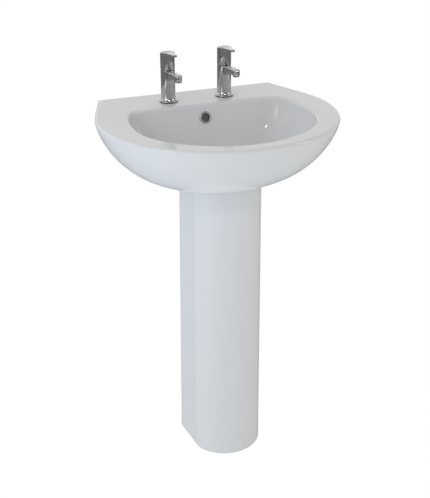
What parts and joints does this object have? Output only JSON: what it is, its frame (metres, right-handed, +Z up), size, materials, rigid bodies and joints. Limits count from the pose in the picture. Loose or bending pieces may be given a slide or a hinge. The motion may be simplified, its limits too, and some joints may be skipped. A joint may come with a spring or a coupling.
{
  "type": "pedestal sink",
  "caption": "Ceramic basin with a D-shaped bowl on a full hollow pedestal, with two pillar taps with turning levers, a click waste and a bottle trap.",
  "frame": {"origin": "on the floor, under the centre of the overall box", "axes": "+Z up, +Y towards the wall behind the basin, -Y towards the user, +X to the user's right"},
  "size_m": [0.55, 0.475, 0.9691],
  "materials": {
    "glazed_ceramic": "high-gloss white glaze, slightly cool",
    "chrome": "polished chrome plate",
    "brass": "machined brass",
    "steel": "plain stainless steel",
    "rubber": "black moulded rubber",
    "white_plastic": "satin white polypropylene",
    "nylon": "natural nylon",
    "disc_ceramic": "lapped alumina"
  },
  "bodies": {
    "sink": {"basin": "glazed_ceramic", "pedestal": "glazed_ceramic", "overflow_ring": "chrome", "wall_collar_left": "nylon", "wall_collar_right": "nylon", "floor_collar_left": "nylon", "floor_collar_right": "nylon", "waste_flange": "chrome", "waste_top_seal": "rubber", "waste_bottom_seal": "rubber", "waste_back_nut": "brass", "click_cartridge": "brass", "trap_inlet_nut": "white_plastic", "trap_inlet_seal": "rubber", "trap_head": "white_plastic", "trap_dip_tube": "white_plastic", "trap_cup": "white_plastic", "trap_cup_seal": "rubber", "trap_outlet_nut": "white_plastic", "trap_outlet_seal": "rubber", "hot_tap_body": "chrome", "hot_tap_tail": "brass", "hot_base_gasket": "rubber", "hot_top_hat_washer": "nylon", "hot_back_nut": "brass", "hot_valve_body": "brass", "hot_fixed_disc": "disc_ceramic", "hot_aerator_housing": "chrome", "hot_flow_insert": "white_plastic", "cold_tap_body": "chrome", "cold_tap_tail": "brass", "cold_base_gasket": "rubber", "cold_top_hat_washer": "nylon", "cold_back_nut": "brass", "cold_valve_body": "brass", "cold_fixed_disc": "disc_ceramic", "cold_aerator_housing": "chrome", "cold_flow_insert": "white_plastic"},
    "hot_handle": {"hot_lever": "chrome", "hot_spindle": "brass", "hot_moving_disc": "disc_ceramic", "hot_lever_screw": "steel"},
    "cold_handle": {"cold_lever": "chrome", "cold_spindle": "brass", "cold_moving_disc": "disc_ceramic", "cold_lever_screw": "steel"},
    "waste_plug": {"plug_cap": "chrome", "plug_seal": "rubber", "plug_stem": "brass"}
  },
  "joints": [
    {"name": "hot_lever_turn", "type": "hinge", "parent": "sink", "child": "hot_handle", "pos_m": [-0.07, 0.163, 0.94], "axis": [0, 0, 1], "range_deg": [0, 90]},
    {"name": "cold_lever_turn", "type": "hinge", "parent": "sink", "child": "cold_handle", "pos_m": [0.07, 0.163, 0.94], "axis": [0, 0, 1], "range_deg": [-90, 0]},
    {"name": "plug_slide", "type": "slide", "parent": "sink", "child": "waste_plug", "axis": [0, 0, 1], "range_m": [-0.008, 0], "stiffness_N_per_m": 500, "springref_m": 0.008}
  ]
}
